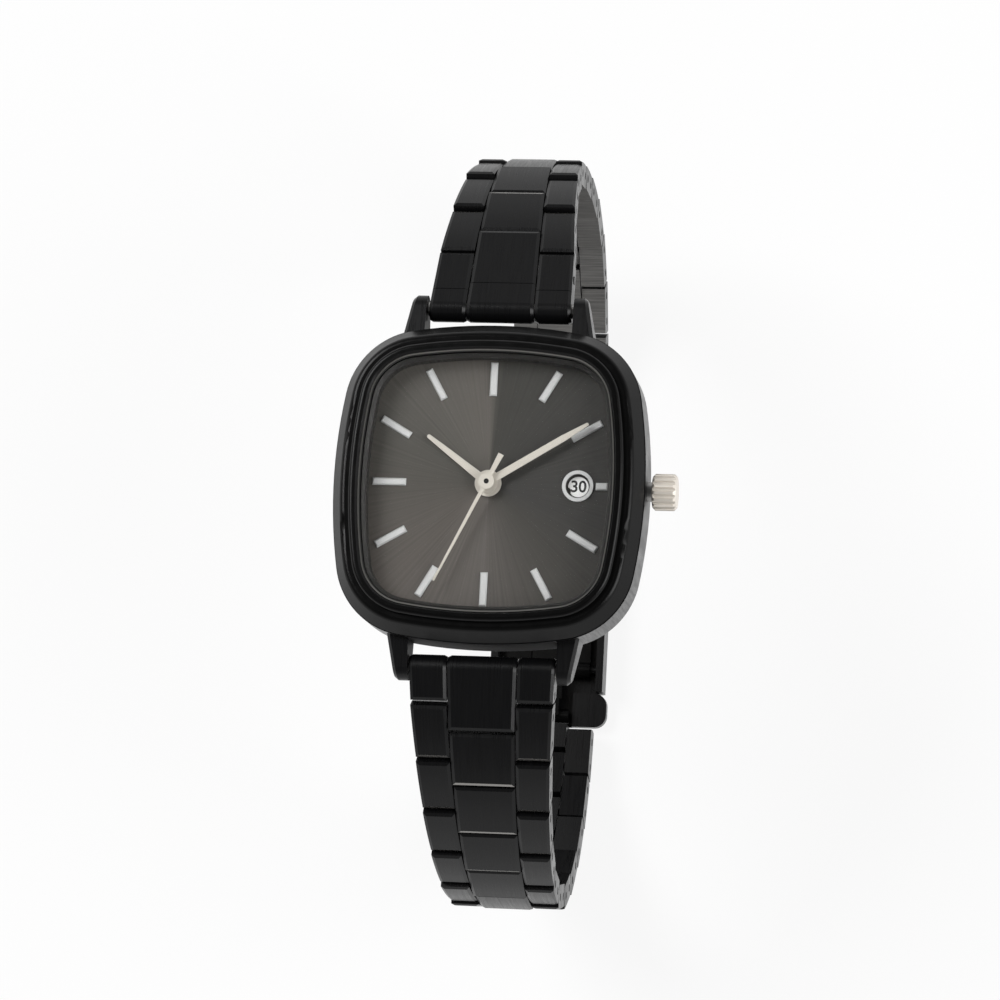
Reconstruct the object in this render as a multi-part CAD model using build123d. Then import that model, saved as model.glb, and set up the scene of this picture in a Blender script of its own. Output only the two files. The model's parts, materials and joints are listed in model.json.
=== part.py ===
from build123d import *
from math import acos, asin, atan2, cos, degrees, hypot, pi, radians, sin, sqrt, tan
import os

# Square wristwatch, dial up, standing on its closed clasp.
# Millimetres. X runs to 3 o'clock, Y to 12 o'clock and Z up along the dial's normal.
# The head and the strands are drawn from the dial's top face, and lifted at the end.

# Coin cell, which sets the movement's size
battery_radius = 3.4
battery_thick = 2.1
battery_clear = 3.5
battery_edge = 0.1
battery_angle = 282
battery_rim = 0.35
battery_gap = 0.25
battery_distance = battery_clear + battery_radius
movement_radius = battery_distance + battery_radius + battery_edge

# Head: outline and levels above or below the dial's face
cavity_inset = 2.35
holder_side_wall = 2.25
case_extra_height = 0.8
case_width = 2 * (movement_radius + holder_side_wall + cavity_inset)
case_height = case_width + case_extra_height
side_bow_radius = 50.0
corner_radius = 7.6
case_top = 0.4
case_bottom = -4.8
case_edge_round = 0.45
fit_gap = 0.1

# Bezel: a low outer step and a raised inner lip round the crystal
bezel_inset = 0.08
bezel_rim_top = 0.6
bezel_shoulder_inset = 1.1
bezel_step_top = 2.3
bezel_lip_top = 3.0
bezel_outer_round = 0.6
lip_inset = 1.85
lip_round = 0.4
opening_inset = 2.75
lip_bevel = 0.2
crystal_seat = 0.3
reflector_inset = 3.4
reflector_drop = 0.4
bezel_skirt_low = 0.05

# Crystal and its gasket
crystal_low = 1.85
crystal_top = 2.85
crystal_bevel = 0.15
gasket_wall = 0.15
gasket_drop = 0.15

# Case back, pressed in from below
back_inset = 0.9
back_thick = 0.8
back_bevel = 0.3
back_skirt_wall = 0.8
back_skirt_high = 0.9
back_notch_width = 2.4
back_notch_deep = 0.35
seal_thick = 0.35

# Lugs and the spring bars that carry the strands
lug_gap = 14.3
lug_wide = 2.3
lug_taper = 1.05
lug_overhang = 2.05
lug_reach = case_height / 2 + lug_overhang
lug_drop = 2.15
lug_tip_radius = 1.3
lug_root_top = -0.35
lug_root_low = -4.3
lug_root_inset = 2.0
lug_edge_bevel = 0.3
spring_bar_radius = 0.7
spring_pin_radius = 0.4
spring_pin_reach = 1.0
spring_pin_gap = 0.05
end_play = 0.1

# Crown, its tube and its stem
crown_drop = 1.9
crown_radius = 1.75
crown_gap = 0.5
crown_inner_face = case_width / 2 + crown_gap
crown_length = 2.3
crown_bevel = 0.25
crown_flutes = 16
crown_flute_radius = 0.2
crown_bore_radius = 1.1
crown_bore_deep = 1.5
tube_radius = 0.95
tube_bore_radius = 0.6
tube_inner_overrun = 0.25
tube_inner_face = case_width / 2 - cavity_inset - tube_inner_overrun
tube_socket_deep = 0.45
stem_radius = 0.4
stem_end = 4.6
stem_groove_radius = 0.22
stem_groove_at = 7.6
stem_groove_wide = 0.6
crown_seal_wide = 0.5
crown_travel = 1.0

# Dial, markers and date window
dial_thick = 0.4
dial_inset = 2.4
dial_hole_radius = 0.85
marker_length = 3.25
marker_wide = 0.7
marker_high = 0.25
marker_bevel = 0.12
marker_inset_12 = 5.25
marker_inset_1 = 4.4
marker_inset_2 = 4.38
marker_inset_9 = 5.4
marker_radius_12 = case_height / 2 - marker_inset_12
marker_radius_1 = case_height / 2 - marker_inset_1
marker_radius_2 = case_width / 2 - marker_inset_2
marker_radius_9 = case_width / 2 - marker_inset_9
marker_hours_12 = (0, 6)
marker_hours_1 = (1, 5, 7, 11)
marker_hours_2 = (2, 4, 8, 10)
marker_hour_9 = 9
marker_hour_3 = 3
marker_short_length = 1.15
marker_short_gap = 0.225
date_disc_edge = 0.45
date_disc_wide = 2.4
date_number_inset = 1.0
date_disc_outer = movement_radius - date_disc_edge
date_disc_inner = date_disc_outer - date_disc_wide
date_centre = date_disc_inner + date_number_inset
date_ring_radius = 1.5
date_ring_wall = 0.34
date_ring_high = 0.2
date_hole_radius = 0.98
date_hole_bevel = 0.16
marker_radius_3 = date_centre + date_ring_radius + marker_short_gap + marker_short_length / 2

# Hands: angles are clockwise from 12, at nine minutes past ten
hour_angle = 306.6
minute_angle = 58.0
second_angle = 205.6
hand_thick = 0.14
hour_hand_low = 0.4
minute_hand_low = 0.9
second_hand_low = 1.45
hour_hand_length = 7.55
hour_root_wide = 0.84
hour_shoulder_wide = 0.52
hour_tip_wide = 0.38
hour_hub_radius = 1.28
minute_hand_length = 11.1
minute_root_wide = 0.7
minute_shoulder_wide = 0.62
minute_tip_wide = 0.3
minute_hub_radius = 0.99
shoulder_share = 0.75
second_hand_length = 10.7
second_tail_length = 2.95
second_root_wide = 0.34
second_tip_wide = 0.18
second_neck_wide = 0.34
second_tail_wide = 0.55
second_hub_radius = 0.76
second_cap_high = 0.25
second_pit_radius = 0.25
second_pit_deep = 0.12
second_arbor_top = second_hand_low + second_cap_high - second_pit_deep

# Movement: levels of the plate, bridge, circuit board and date disc
plate_top = -0.95
plate_low = -1.9
bridge_top = -3.0
bridge_low = -3.3
board_top = -3.35
board_low = -3.6
screw_head_low = -3.85
screw_head_radius = 0.6
screw_radius = 0.3
screw_edge = 1.8
screw_place_radius = movement_radius - screw_edge
screw_angles = (150, 205, 318)
screw_slot_wide = 0.15
screw_slot_deep = 0.12
pillar_radius = 0.9
holder_wall_gap = 0.1
holder_low = -4.6
stem_slot_wide = 1.9
stem_slot_start = 3.7

# Train: wheel faces, arbors and shaft sizes
wheel_thick = 0.13
arbor_radius = 0.15
pivot_gap = 0.05
tooth_share = 0.9
tooth_tip_share = 0.11
tooth_root_share = 0.21
gear_gap = 0.03
wheel_bore_gap = 0.04
third_distance = 3.24
third_angle = 200
fifth_distance = 2.88
fifth_angle = 60
drive_distance = 2.64
motion_distance = 2.5
motion_angle = 75
date_wheel_distance = 4.4
date_wheel_angle = 250
centre_level = -2.1
third_level = -2.6
seconds_level = -2.9
fifth_level = -2.35
minute_level = -0.9
date_level = -0.76
hour_level = -0.62
seconds_pinion_teeth = 8
third_teeth = 64
third_pinion_teeth = 8
centre_teeth = 60
rotor_pinion_teeth = 6
fifth_teeth = 60
fifth_pinion_teeth = 12
seconds_teeth = 36
cannon_teeth = 12
minute_teeth = 36
minute_pinion_teeth = 10
hour_teeth = 40
date_pinion_teeth = 24
date_wheel_teeth = 48
date_disc_teeth = 31
cannon_radius = 0.36
cannon_bore_radius = 0.2
hour_pipe_radius = 0.6
hour_pipe_bore_radius = 0.41
date_disc_low = -0.9
date_disc_thick = 0.42
date_tooth_deep = 0.3
date_tooth_shares = (0, 0.35, 0.5, 0.85)
date_finger_reach = date_disc_inner - date_wheel_distance - pivot_gap
date_finger_wide = 0.3

# Motor
rotor_radius = 0.8
rotor_high = 0.5
stator_top = -2.5
stator_low = -2.8
stator_gap = 0.15
stator_half_length = 4.7
stator_near = 3.7
stator_far = 6.9
coil_setback = 1.25
coil_line = stator_far + coil_setback
coil_core_wide = 0.5
coil_radius = 0.68
coil_half_length = 3.4
stator_leg_wide = 1.1

# Keyless works on the stem
pinion_radius = 0.75
pinion_start = 4.75
pinion_length = 1.3
pinion_flutes = 10
pinion_flute_radius = 0.12
lever_arm = 2.7
lever_thick = 0.25
lever_wide = 1.0
lever_pin_radius = 0.15
lever_pin_side = 0.42
lever_gap = 0.12

# Bracelet: three-row links, centre row set half a pitch ahead of the side rows
link_pitch = 5.6
link_thick = 2.5
taper_12_start = 13.8
taper_12_end = 9.8
taper_12_steady = 3.0
taper_12_length = 31.0
taper_12_curve_share = 1.7
taper_6_start = 14.1
taper_6_end = 10.1
taper_6_steady = 0.0
taper_6_length = 50.0
taper_6_curve_share = 1.8
centre_row_share = 0.475
row_gap = 0.1
seam_gap = 0.18
link_bevel = 0.3
link_bevel_deep = 0.15
link_crown_radius = 30.0
link_pin_radius = 0.4
link_pin_inset = 0.05
running_gap = 0.05
groove_wide = 0.3
groove_deep = 0.35
end_12_side = 6.2
end_6_side = 3.05
end_12_groove_side = 1.6
end_12_groove_centre = 2.4

# Bends of the closed bracelet, in degrees from each piece to the next
bend_angles_12 = (25.6, 6.9, 15.0, 18.5, 16.0, 7.6, 11.1, 17.2, 19.4, 15.9, 10.2)
bend_angles_6 = (16.4, 14.5, 10.9, 12.2, 12.5, 14.5, 15.0, 15.0, 15.0, 14.5, 14.0, 13.0)

# Clasp: cover, two folding blades and the bar that ties it to the 12 o'clock strand
clasp_bar_high = 2.2
cover_wide = 12.0
cover_thick = 0.65
cover_wall = 0.75
cover_high = 3.4
cover_12_reach = 1.0
cover_lip_gap = 0.35
lip_length = 3.6
lip_extra_wide = 0.3
lip_thick = 1.5
lip_corner_radius = 1.3
lip_slot_gap = 0.3
cover_edge_bevel = 0.35
blade_hinge_inset = 6.0
blade_hinge_high = 1.8
blade_eye_radius = 0.85
blade_pin_radius = 0.4
blade_12_distance = 10.6
rail_inner = 1.85
rail_side_gap = 0.8
rail_outer = cover_wide / 2 - cover_wall - rail_side_gap
rail_thick = 0.7
tongue_half_wide = 1.65
tongue_thick = 0.55
tongue_high = 2.3
tongue_wide_reach = 3.2
tongue_end_half_wide = 1.4
blade_tube_radius = 0.75
open_pivot_gap = 0.2


def outline(inset):
    """The head's cushion outline, drawn in by inset: four bowed sides and four corner arcs."""
    half_x, half_y = case_width / 2 - inset, case_height / 2 - inset
    bow, corner = side_bow_radius - inset, corner_radius - inset
    ax, by = half_x - bow, half_y - bow
    reach = bow - corner
    gap = hypot(ax, by)
    rise = sqrt(reach ** 2 - gap ** 2 / 4)
    cx = ax / 2 - by / gap * rise
    cy = by / 2 - ax / gap * rise
    side = ((cx - ax) / reach, cy / reach)
    top = (cx / reach, (cy - by) / reach)
    mid_angle = (atan2(side[1], side[0]) + atan2(top[1], top[0])) / 2
    p_side = (ax + bow * side[0], bow * side[1])
    p_top = (bow * top[0], by + bow * top[1])
    p_mid = (cx + corner * cos(mid_angle), cy + corner * sin(mid_angle))
    edges = []
    for sx, sy in ((1, 1), (-1, 1), (-1, -1), (1, -1)):
        edges.append(ThreePointArc(*[(sx * x, sy * y) for x, y in (p_side, p_mid, p_top)]))
    for sx in (1, -1):
        low_end, high_end = (sx * p_side[0], -p_side[1]), (sx * p_side[0], p_side[1])
        edges.append(ThreePointArc(low_end, (sx * half_x, 0), high_end))
        edges.append(ThreePointArc((-p_top[0], sx * p_top[1]), (0, sx * half_y), (p_top[0], sx * p_top[1])))
    return make_face(edges)


def slab(inset, low, high):
    """A plate of the head's outline between two levels."""
    return Pos(0, 0, low) * extrude(outline(inset), high - low)


def disc(radius, low, high, x=0, y=0):
    """A round plate or vertical shaft between two levels."""
    return Pos(x, y, (low + high) / 2) * Cylinder(radius, high - low)


def rod(radius, x_start, x_end, y=0, z=0):
    """A round bar along X."""
    return Pos((x_start + x_end) / 2, y, z) * Rot(0, 90, 0) * Cylinder(radius, x_end - x_start)


def block(x_start, x_end, y_start, y_end, z_start, z_end):
    """A rectangular block between its limits."""
    size = (x_end - x_start, y_end - y_start, z_end - z_start)
    return Pos((x_start + x_end) / 2, (y_start + y_end) / 2, (z_start + z_end) / 2) * Box(*size)


def polar(distance, angle):
    """A place on the movement's plan."""
    return distance * cos(radians(angle)), distance * sin(radians(angle))


def prism(points, half_wide):
    """A solid of constant section: points are (along, out) pairs, extruded both ways across."""
    face = make_face(Plane.YZ * Polyline(*points, close=True))
    return extrude(face, half_wide, both=True)


def plan(points, half_high):
    """A solid of constant plan: points are (across, along) pairs, extruded both ways."""
    return extrude(make_face(Polyline(*points, close=True)), half_high, both=True)


def gear(teeth, pitch_radius, low, high, x=0, y=0, phase_share=0.0, bore=0):
    """A spur wheel with straight-sided teeth about its pitch circle."""
    step = 2 * pi / teeth
    depth = tooth_share * pi * pitch_radius / teeth
    tip, root = pitch_radius + depth / 2 - gear_gap, pitch_radius - depth / 2 - gear_gap
    points = []
    for count in range(teeth):
        middle = (count + phase_share) * step
        for radius, side in ((root, -tooth_root_share), (tip, -tooth_tip_share),
                             (tip, tooth_tip_share), (root, tooth_root_share)):
            points.append(polar(radius, degrees(middle + side * step)))
    wheel = Pos(x, y, low) * extrude(make_face(Polyline(*points, close=True)), high - low)
    if bore:
        wheel -= disc(bore, low, high, x, y)
    return wheel


def top_bevel(shape, length):
    """Bevel the rim of the highest flat face."""
    return chamfer(shape.faces().sort_by(Axis.Z)[-1].edges(), length)


# Head

def lug(sign_x, sign_y):
    """One lug: a bar from the case wall that narrows to a round tip over the spring bar."""
    root_y = case_height / 2 - lug_root_inset
    start = sign_x * lug_gap / 2
    end = start + sign_x * lug_wide
    tip = Pos(0, lug_reach, -lug_drop) * Rot(0, 90, 0) * Cylinder(lug_tip_radius, lug_wide)
    over = tangent_point(root_y, lug_root_top, 1)
    under = tangent_point(root_y, lug_root_low, -1)
    corners = [(root_y, lug_root_low), under, (lug_reach, -lug_drop), over, (root_y, lug_root_top)]
    shape = tip + prism(corners, lug_wide / 2)
    tip_y = lug_reach + lug_tip_radius
    outer_x = lug_wide / 2
    trim = [(-outer_x, root_y), (outer_x, root_y), (outer_x - lug_taper, tip_y), (-outer_x, tip_y)]
    shape &= plan(trim, case_width)
    outer = shape.faces().sort_by(Axis.X)[-1]
    rims = [e for e in outer.edges() if e.center().Y > root_y + lug_edge_bevel]
    shape = chamfer(rims, lug_edge_bevel)
    shape = Pos(abs(start + end) / 2, 0, 0) * shape
    shape -= rod(spring_pin_radius + spring_pin_gap, 0, lug_gap / 2 + spring_pin_reach, lug_reach, -lug_drop)
    if sign_x < 0:
        shape = mirror(shape, Plane.YZ)
    if sign_y < 0:
        shape = mirror(shape, Plane.XZ)
    return shape


def tangent_point(y, z, side):
    """Where a line from (y, z) touches the lug's round tip, above or below."""
    dy, dz = lug_reach - y, -lug_drop - z
    distance = hypot(dy, dz)
    angle = atan2(dz, dy) + side * asin(lug_tip_radius / distance)
    run = sqrt(distance ** 2 - lug_tip_radius ** 2)
    return y + run * cos(angle), z + run * sin(angle)


def case_body():
    body = slab(0, case_bottom, case_top)
    body = fillet(body.faces().sort_by(Axis.Z)[0].edges(), case_edge_round)
    for sign_x in (1, -1):
        for sign_y in (1, -1):
            body += lug(sign_x, sign_y)
    body -= slab(cavity_inset, case_bottom, case_top)
    body -= rod(tube_radius, tube_inner_face - tube_socket_deep, case_width, 0, -crown_drop)
    return body


def bezel():
    slope = ((bezel_inset, bezel_rim_top), (bezel_shoulder_inset, bezel_step_top))
    step = loft([Pos(0, 0, level) * outline(inset) for inset, level in slope], ruled=True)
    step = fillet(step.faces().sort_by(Axis.Z)[-1].edges(), bezel_outer_round)
    step += slab(bezel_inset, case_top, bezel_rim_top)
    lip = slab(lip_inset, case_top, bezel_lip_top)
    lip = fillet(lip.faces().sort_by(Axis.Z)[-1].edges(), lip_round)
    skirt = slab(cavity_inset + fit_gap, bezel_skirt_low, case_top)
    ring = step + lip + skirt
    ring -= slab(opening_inset, crystal_low, bezel_lip_top)
    ring -= slab(reflector_inset, bezel_skirt_low, bezel_lip_top)
    slope = ((reflector_inset, crystal_low - reflector_drop), (opening_inset + crystal_seat, crystal_low))
    rim = ((opening_inset, bezel_lip_top - lip_bevel), (opening_inset - lip_bevel, bezel_lip_top))
    for ends in (slope, rim):
        ring -= loft([Pos(0, 0, level) * outline(inset) for inset, level in ends], ruled=True)
    return ring


def crystal():
    return top_bevel(slab(opening_inset + gasket_wall, crystal_low, crystal_top), crystal_bevel)


def gaskets():
    top = crystal_top - gasket_drop
    upper = slab(opening_inset, crystal_low, top) - slab(opening_inset + gasket_wall, crystal_low, top)
    outer, inner = cavity_inset, cavity_inset + back_skirt_wall
    top = case_bottom + back_skirt_high + seal_thick
    lower = slab(outer, top - seal_thick, top) - slab(inner, top - seal_thick, top)
    start = crown_inner_face + crown_bore_deep - crown_seal_wide - crown_travel
    ring = rod(crown_bore_radius - running_gap, start, start + crown_seal_wide, 0, -crown_drop)
    ring -= rod(tube_radius, start, start + crown_seal_wide, 0, -crown_drop)
    return Compound([upper, lower, ring])


def case_back():
    low = case_bottom - back_thick
    plate = slab(back_inset, low, case_bottom)
    plate = chamfer(plate.faces().sort_by(Axis.Z)[0].edges(), back_bevel)
    inner = cavity_inset + back_skirt_wall
    top = case_bottom + back_skirt_high
    plate += slab(cavity_inset + fit_gap, case_bottom, top) - slab(inner, case_bottom, top)
    edge = case_height / 2 - back_inset
    half = back_notch_width / 2
    return plate - block(-half, half, edge - back_notch_deep, edge, case_bottom - back_notch_deep, case_bottom)


def spring_bar(half_length, reach, y, z):
    """A telescopic bar: a tube with a thinner pin standing out of each end."""
    bar = rod(spring_bar_radius, -half_length, half_length, y, z)
    return bar + rod(spring_pin_radius, -half_length - reach, half_length + reach, y, z)


def lug_spring_bars():
    half = lug_gap / 2 - end_play
    reach = spring_pin_reach
    return Compound([spring_bar(half, reach, side * lug_reach, -lug_drop) for side in (1, -1)])


# Crown

def crown_tube():
    end = crown_inner_face + crown_bore_deep - crown_travel
    tube = rod(tube_radius, tube_inner_face, end, 0, -crown_drop)
    return tube - rod(tube_bore_radius, tube_inner_face, end, 0, -crown_drop)


def crown():
    end = crown_inner_face + crown_length
    body = rod(crown_radius, crown_inner_face, end, 0, -crown_drop)
    body = chamfer(body.edges().filter_by(GeomType.CIRCLE), crown_bevel)
    for count in range(crown_flutes):
        across, up = polar(crown_radius, count * 360 / crown_flutes)
        body -= rod(crown_flute_radius, crown_inner_face, end, across, up - crown_drop)
    body -= rod(crown_bore_radius, crown_inner_face, crown_inner_face + crown_bore_deep, 0, -crown_drop)
    return body


def stem():
    end = crown_inner_face + crown_bore_deep
    shaft = rod(stem_radius, stem_end, end, 0, -crown_drop)
    half = stem_groove_wide / 2
    groove = rod(stem_radius, stem_groove_at - half, stem_groove_at + half, 0, -crown_drop)
    groove -= rod(stem_groove_radius, stem_groove_at - half, stem_groove_at + half, 0, -crown_drop)
    return shaft - groove


# Dial and hands

def dial():
    plate = slab(dial_inset, -dial_thick, 0)
    plate -= disc(dial_hole_radius, -dial_thick, 0)
    window = disc(date_hole_radius + date_hole_bevel, -dial_thick, 0, date_centre)
    window = chamfer(window.faces().sort_by(Axis.Z)[0].edges(), date_hole_bevel)
    return plate - window


def baton(length, radius, hour):
    """One applied bar on its hour line."""
    bar = Pos(0, radius, marker_high / 2) * Box(marker_wide, length, marker_high)
    return Rot(0, 0, -30 * hour) * top_bevel(bar, marker_bevel)


def dial_appliques():
    radii = {hour: marker_radius_12 for hour in marker_hours_12}
    radii.update({hour: marker_radius_1 for hour in marker_hours_1})
    radii.update({hour: marker_radius_2 for hour in marker_hours_2})
    radii[marker_hour_9] = marker_radius_9
    pieces = [baton(marker_length, radius, hour) for hour, radius in radii.items()]
    pieces.append(baton(marker_short_length, marker_radius_3, marker_hour_3))
    ring = disc(date_ring_radius, 0, date_ring_high, date_centre)
    ring -= disc(date_ring_radius - date_ring_wall, 0, date_ring_high, date_centre)
    pieces.append(ring)
    return Compound(pieces)


def shaped_hand(length, low, angle, hub, bore, root_wide, shoulder_wide, tip_wide):
    """A hand that narrows to a shoulder and a round tip, with a round hub bored for its pipe."""
    root, middle, tip = root_wide / 2, shoulder_wide / 2, tip_wide / 2
    shoulder, end = length * shoulder_share, length - tip
    points = [(-root, 0), (-middle, shoulder), (-tip, end), (tip, end), (middle, shoulder), (root, 0)]
    blade = Pos(0, 0, low) * extrude(make_face(Polyline(*points, close=True)), hand_thick)
    hand = blade + disc(hub, low, low + hand_thick) + disc(tip, low, low + hand_thick, 0, end)
    return Rot(0, 0, -angle) * (hand - disc(bore, low, low + hand_thick))


def hour_hand():
    return shaped_hand(hour_hand_length, hour_hand_low, hour_angle, hour_hub_radius, hour_pipe_radius,
                       hour_root_wide, hour_shoulder_wide, hour_tip_wide)


def minute_hand():
    return shaped_hand(minute_hand_length, minute_hand_low, minute_angle, minute_hub_radius, cannon_radius,
                       minute_root_wide, minute_shoulder_wide, minute_tip_wide)


def second_hand():
    low, root, tip = second_hand_low, second_root_wide / 2, second_tip_wide / 2
    neck, tail = second_neck_wide / 2, second_tail_wide / 2
    needle = [(-root, 0), (-tip, second_hand_length), (tip, second_hand_length), (root, 0)]
    counter = [(-neck, 0), (-tail, -second_tail_length), (tail, -second_tail_length), (neck, 0)]
    top = low + second_cap_high
    hand = disc(second_hub_radius, low, top)
    for points in (needle, counter):
        hand += Pos(0, 0, low) * extrude(make_face(Polyline(*points, close=True)), hand_thick)
    hand -= disc(second_pit_radius, second_arbor_top, top)
    return Rot(0, 0, -second_angle) * (hand - disc(arbor_radius, low, second_arbor_top))


# Movement

def mesh_radii(distance, wheel, pinion):
    """Pitch radii of a wheel and pinion that mesh at a centre distance."""
    module = distance / (wheel + pinion)
    return wheel * module, pinion * module


def movement_holder():
    ring = slab(cavity_inset + holder_wall_gap, holder_low, -dial_thick)
    ring -= disc(movement_radius + holder_wall_gap, holder_low, -dial_thick)
    inner = cavity_inset + back_skirt_wall
    floor_top = case_bottom + back_skirt_high + seal_thick
    ring -= slab(0, holder_low, floor_top) - slab(inner + holder_wall_gap, holder_low, floor_top)
    slot_half = stem_slot_wide / 2
    slot_low, slot_high = -crown_drop - slot_half, -crown_drop + slot_half
    return ring - block(0, case_width, -slot_half, slot_half, slot_low, slot_high)


def main_plate():
    plate = disc(movement_radius, plate_low, plate_top)
    rim_top = -dial_thick
    plate += disc(movement_radius, plate_top, rim_top) - disc(date_disc_outer + fit_gap, plate_top, rim_top)
    for angle in screw_angles:
        plate += disc(pillar_radius, board_top, plate_low, *polar(screw_place_radius, angle))
    for angle in screw_angles:
        plate -= disc(screw_radius, board_top, plate_low, *polar(screw_place_radius, angle))
    plate -= disc(cannon_radius + pivot_gap, plate_low, plate_top)
    slot_half = stem_slot_wide / 2
    plate -= block(stem_slot_start, case_width, -slot_half, slot_half, plate_low, -crown_drop + slot_half)
    spots = (polar(third_distance, third_angle), polar(fifth_distance, fifth_angle), rotor_place())
    for spot in spots:
        plate -= disc(arbor_radius + pivot_gap, plate_low, plate_top, *spot)
    for spot in (polar(motion_distance, motion_angle), polar(date_wheel_distance, date_wheel_angle)):
        plate += disc(arbor_radius, plate_top, -dial_thick - fit_gap, *spot)
    return plate


def rotor_place():
    return polar(fifth_distance + drive_distance, fifth_angle)


def battery_place():
    return polar(battery_distance, battery_angle)


def train_bridge():
    reach = fifth_distance + drive_distance + rotor_radius
    bridge = disc(reach, bridge_low, bridge_top)
    bridge -= disc(battery_radius + battery_gap, bridge_low, bridge_top, *battery_place())
    spots = ((0, 0), polar(third_distance, third_angle), polar(fifth_distance, fifth_angle), rotor_place())
    for spot in spots:
        bridge -= disc(arbor_radius + pivot_gap, bridge_low, bridge_top, *spot)
    for angle in screw_angles:
        x, y = polar(screw_place_radius, angle)
        arm = Pos(x / 2, y / 2, (bridge_low + bridge_top) / 2) * Rot(0, 0, angle)
        bridge += arm * Box(screw_place_radius, pillar_radius, bridge_top - bridge_low)
    for angle in screw_angles:
        bridge -= disc(pillar_radius + fit_gap, bridge_low, bridge_top, *polar(screw_place_radius, angle))
    spots = ((0, 0), polar(third_distance, third_angle), polar(fifth_distance, fifth_angle), rotor_place())
    for spot in spots:
        bridge -= disc(arbor_radius + pivot_gap, bridge_low, bridge_top, *spot)
    return bridge


def circuit_board():
    board = disc(movement_radius - battery_gap, board_low, board_top)
    board -= disc(battery_radius + battery_gap, board_low, board_top, *battery_place())
    for angle in screw_angles:
        board -= disc(screw_radius + pivot_gap, board_low, board_top, *polar(screw_place_radius, angle))
    return board


def movement_screws():
    screws = []
    for angle in screw_angles:
        place = polar(screw_place_radius, angle)
        screw = disc(screw_head_radius, screw_head_low, board_low, *place)
        screw += disc(screw_radius, board_low, plate_low, *place)
        slot = Box(2 * screw_head_radius, screw_slot_wide, screw_slot_deep)
        screws.append(screw - Pos(place[0], place[1], screw_head_low + screw_slot_deep / 2) * slot)
    return Compound(screws)


def stator():
    x, y = rotor_place()
    plate = block(-stator_half_length, stator_half_length, stator_near, stator_far, stator_low, stator_top)
    plate -= disc(rotor_radius + stator_gap, stator_low, stator_top, x, y)
    far = coil_line + coil_core_wide
    for sign in (1, -1):
        edges = sorted((sign * stator_half_length, sign * (stator_half_length - stator_leg_wide)))
        plate += block(*edges, stator_far, far, stator_low, stator_top)
    half = stator_half_length
    core = block(-half, half, coil_line - coil_core_wide, far, stator_low, stator_top)
    window = disc(fifth_distance, stator_low, stator_top)
    return plate + core - window


def coil():
    middle = (stator_low + stator_top) / 2
    winding = rod(coil_radius, -coil_half_length, coil_half_length, coil_line, middle)
    reach = coil_core_wide + pivot_gap
    half = (stator_top - stator_low) / 2 + pivot_gap
    bore = (-case_width, case_width, coil_line - reach, coil_line + reach, middle - half, middle + half)
    return winding - block(*bore)


def battery():
    x, y = battery_place()
    low = plate_low - battery_gap - battery_thick
    cell = disc(battery_radius, low, low + battery_thick, x, y)
    cell -= disc(battery_radius, low + battery_thick - battery_rim, low + battery_thick, x, y)
    cap = disc(battery_radius - battery_rim, low, low + battery_thick, x, y)
    return cell + cap


def rotor():
    x, y = rotor_place()
    pinion = mesh_radii(drive_distance, fifth_teeth, rotor_pinion_teeth)[1]
    top = fifth_level - pivot_gap
    shape = disc(rotor_radius, top - rotor_high, top, x, y)
    shape += disc(arbor_radius, bridge_low, plate_top, x, y)
    return shape + gear(rotor_pinion_teeth, pinion, top, fifth_level + wheel_thick, x, y)


def train_wheel(place, disc_teeth, disc_radius, disc_level, pinion_teeth, pinion_radius_value, pinion_level):
    """A wheel and pinion on one arbor that runs from bridge to plate."""
    x, y = place
    shape = disc(arbor_radius, bridge_low, plate_top, x, y)
    shape += gear(disc_teeth, disc_radius, disc_level, disc_level + wheel_thick, x, y, 0.5)
    return shape + gear(pinion_teeth, pinion_radius_value, pinion_level, pinion_level + wheel_thick, x, y)


def fifth_wheel():
    wheel = mesh_radii(drive_distance, fifth_teeth, rotor_pinion_teeth)[0]
    pinion = mesh_radii(fifth_distance, seconds_teeth, fifth_pinion_teeth)[1]
    place = polar(fifth_distance, fifth_angle)
    return train_wheel(place, fifth_teeth, wheel, fifth_level, fifth_pinion_teeth, pinion, seconds_level)


def third_wheel():
    wheel = mesh_radii(third_distance, third_teeth, seconds_pinion_teeth)[0]
    pinion = mesh_radii(third_distance, centre_teeth, third_pinion_teeth)[1]
    place = polar(third_distance, third_angle)
    return train_wheel(place, third_teeth, wheel, third_level, third_pinion_teeth, pinion, centre_level)


def seconds_wheel():
    wheel = mesh_radii(fifth_distance, seconds_teeth, fifth_pinion_teeth)[0]
    pinion = mesh_radii(third_distance, third_teeth, seconds_pinion_teeth)[1]
    shape = disc(arbor_radius, bridge_low, second_arbor_top)
    shape += gear(seconds_teeth, wheel, seconds_level, seconds_level + wheel_thick)
    return shape + gear(seconds_pinion_teeth, pinion, third_level, third_level + wheel_thick)


def centre_wheel():
    wheel = mesh_radii(third_distance, centre_teeth, third_pinion_teeth)[0]
    cannon = mesh_radii(motion_distance, minute_teeth, cannon_teeth)[1]
    top = minute_hand_low + hand_thick
    shape = disc(cannon_radius, centre_level, top)
    shape += gear(centre_teeth, wheel, centre_level, centre_level + wheel_thick)
    shape += gear(cannon_teeth, cannon, minute_level, minute_level + wheel_thick)
    return shape - disc(cannon_bore_radius, centre_level, top)


def minute_wheel():
    wheel = mesh_radii(motion_distance, minute_teeth, cannon_teeth)[0]
    pinion = mesh_radii(motion_distance, hour_teeth, minute_pinion_teeth)[1]
    x, y = polar(motion_distance, motion_angle)
    top = hour_level + wheel_thick
    shape = gear(minute_teeth, wheel, minute_level, minute_level + wheel_thick, x, y, 0.5)
    shape += gear(minute_pinion_teeth, pinion, minute_level + wheel_thick, top, x, y)
    return shape - disc(arbor_radius + wheel_bore_gap, minute_level, top, x, y)


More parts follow.
